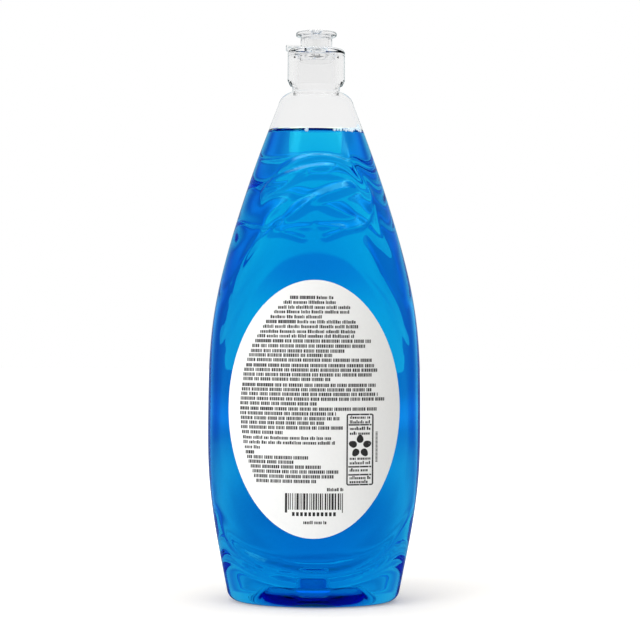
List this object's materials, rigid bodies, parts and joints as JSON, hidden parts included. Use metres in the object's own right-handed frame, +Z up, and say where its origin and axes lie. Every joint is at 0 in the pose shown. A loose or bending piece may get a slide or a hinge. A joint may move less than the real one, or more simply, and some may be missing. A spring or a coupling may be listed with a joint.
{
  "type": "dish soap bottle",
  "caption": "Tall oval squeeze bottle of clear plastic filled with clear blue dish soap, with a thin oval front label and a clear screw closure whose spout pulls up to open.",
  "frame": {"origin": "Middle of the foot, on the surface that the bottle stands on", "axes": "+Z is up along the neck, the label faces -Y, +X is to the right of someone who looks at the label, and the thumb tab of the spout points to -X"},
  "size_m": [0.1014, 0.0632, 0.2713],
  "materials": {
    "clear_bottle_plastic": "clear gloss",
    "blue_dish_soap": "clear liquid",
    "white_label_film": "satin film",
    "clear_closure_plastic": "clear gloss",
    "clear_spout_plastic": "clear gloss"
  },
  "bodies": {
    "bottle_body": {"bottle": "clear_bottle_plastic", "dish_soap": "blue_dish_soap", "label": "white_label_film"},
    "closure_body": {"closure": "clear_closure_plastic"},
    "spout_body": {"pull_spout": "clear_spout_plastic"}
  },
  "joints": [
    {"name": "closure_lift", "type": "slide", "parent": "bottle_body", "child": "closure_body", "axis": [0, 0, 1], "range_m": [0, 0.018]},
    {"name": "spout_pull", "type": "slide", "parent": "closure_body", "child": "spout_body", "axis": [0, 0, 1], "range_m": [0, 0.004]}
  ]
}
